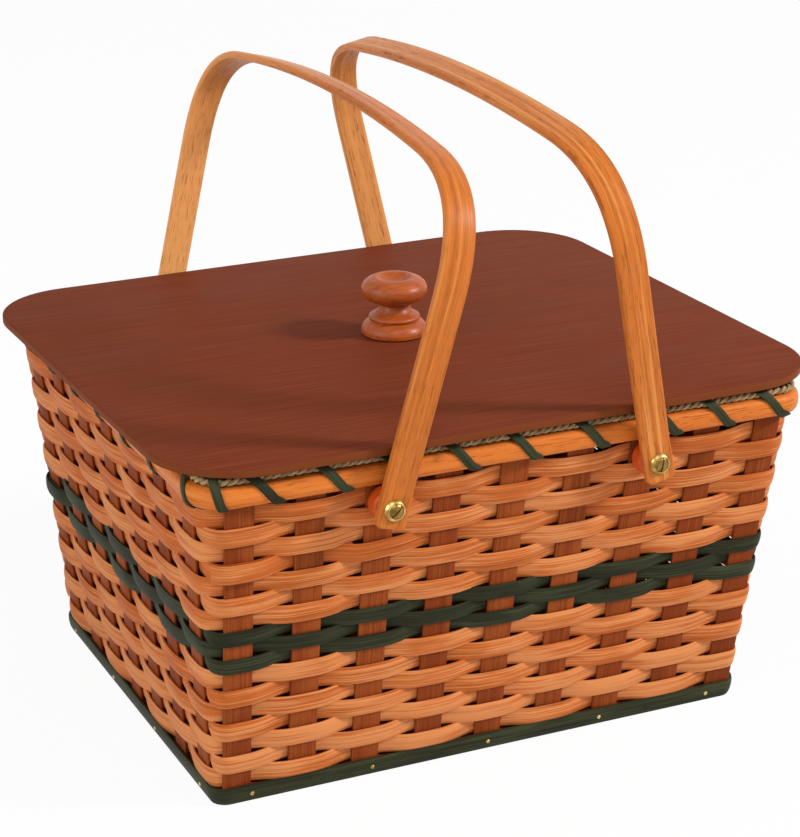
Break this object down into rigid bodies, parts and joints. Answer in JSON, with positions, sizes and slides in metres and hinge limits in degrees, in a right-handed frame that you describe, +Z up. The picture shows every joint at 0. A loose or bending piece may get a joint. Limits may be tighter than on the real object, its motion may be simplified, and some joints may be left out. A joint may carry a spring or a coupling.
{
  "type": "picnic basket",
  "caption": "Rectangular woven reed picnic basket with a lashed rim, a loose stained plywood lid with a turned knob, and bent wooden handles that swing on brass screws.",
  "frame": {"origin": "middle of the base board's underside, on the surface that the basket stands on", "axes": "+X along the long side, -Y out of the front wall, +Z up through the lid and the handles"},
  "size_m": [0.4582, 0.4248, 0.4224],
  "materials": {
    "honey_reed": "flat oval reed, oiled, satin, with fine lengthwise fibres",
    "stake_reed": "flat reed and base board, stained brown, satin",
    "green_reed": "flat oval reed, dyed dark green, satin",
    "bent_oak": "steam-bent oak, oiled, satin, with open grain",
    "seagrass": "twisted seagrass cord, matt",
    "stained_ply": "plywood, red-brown stain, satin",
    "turned_wood": "turned hardwood, orange-brown stain, semi-gloss",
    "brass": "plated brass, polished"
  },
  "bodies": {
    "basket": {"base_and_stakes": "stake_reed", "base_band": "green_reed", "weaver_01": "honey_reed", "weaver_02": "honey_reed", "weaver_03": "honey_reed", "weaver_04": "honey_reed", "weaver_05": "honey_reed", "weaver_06": "honey_reed", "weaver_07": "honey_reed", "weaver_08": "green_reed", "weaver_09": "green_reed", "weaver_10": "green_reed", "weaver_11": "honey_reed", "weaver_12": "honey_reed", "weaver_13": "honey_reed", "weaver_14": "honey_reed", "weaver_15": "honey_reed", "weaver_16": "honey_reed", "weaver_17": "honey_reed", "rim_outer": "bent_oak", "rim_inner": "bent_oak", "rim_filler": "seagrass", "rim_lashing": "green_reed", "pivot_spacer_front_left": "turned_wood", "pivot_spacer_front_right": "turned_wood", "pivot_spacer_back_right": "turned_wood", "pivot_spacer_back_left": "turned_wood", "cup_washer_front_left": "brass", "cup_washer_front_right": "brass", "cup_washer_back_right": "brass", "cup_washer_back_left": "brass", "pivot_screw_front_left": "brass", "pivot_screw_front_right": "brass", "pivot_screw_back_right": "brass", "pivot_screw_back_left": "brass", "pivot_washer_front_left": "brass", "pivot_washer_front_right": "brass", "pivot_washer_back_right": "brass", "pivot_washer_back_left": "brass", "pivot_nut_front_left": "brass", "pivot_nut_front_right": "brass", "pivot_nut_back_right": "brass", "pivot_nut_back_left": "brass"},
    "left_handle": {"handle_left": "bent_oak"},
    "right_handle": {"handle_right": "bent_oak"},
    "lid": {"lid_panel": "stained_ply", "lid_cleat_left": "stained_ply", "lid_cleat_right": "stained_ply", "lid_knob": "turned_wood", "knob_screw": "brass"}
  },
  "joints": [
    {"name": "left_handle_swing", "type": "hinge", "parent": "basket", "child": "left_handle", "pos_m": [-0.09148, 0, 0.2052], "axis": [0, 1, 0], "range_deg": [-160, 7.5]},
    {"name": "right_handle_swing", "type": "hinge", "parent": "basket", "child": "right_handle", "pos_m": [0.09148, 0, 0.2052], "axis": [0, -1, 0], "range_deg": [-158, 9.5]},
    {"name": "lid_lift", "type": "slide", "parent": "basket", "child": "lid", "axis": [0, 0, 1], "range_m": [0, 0.09]}
  ]
}
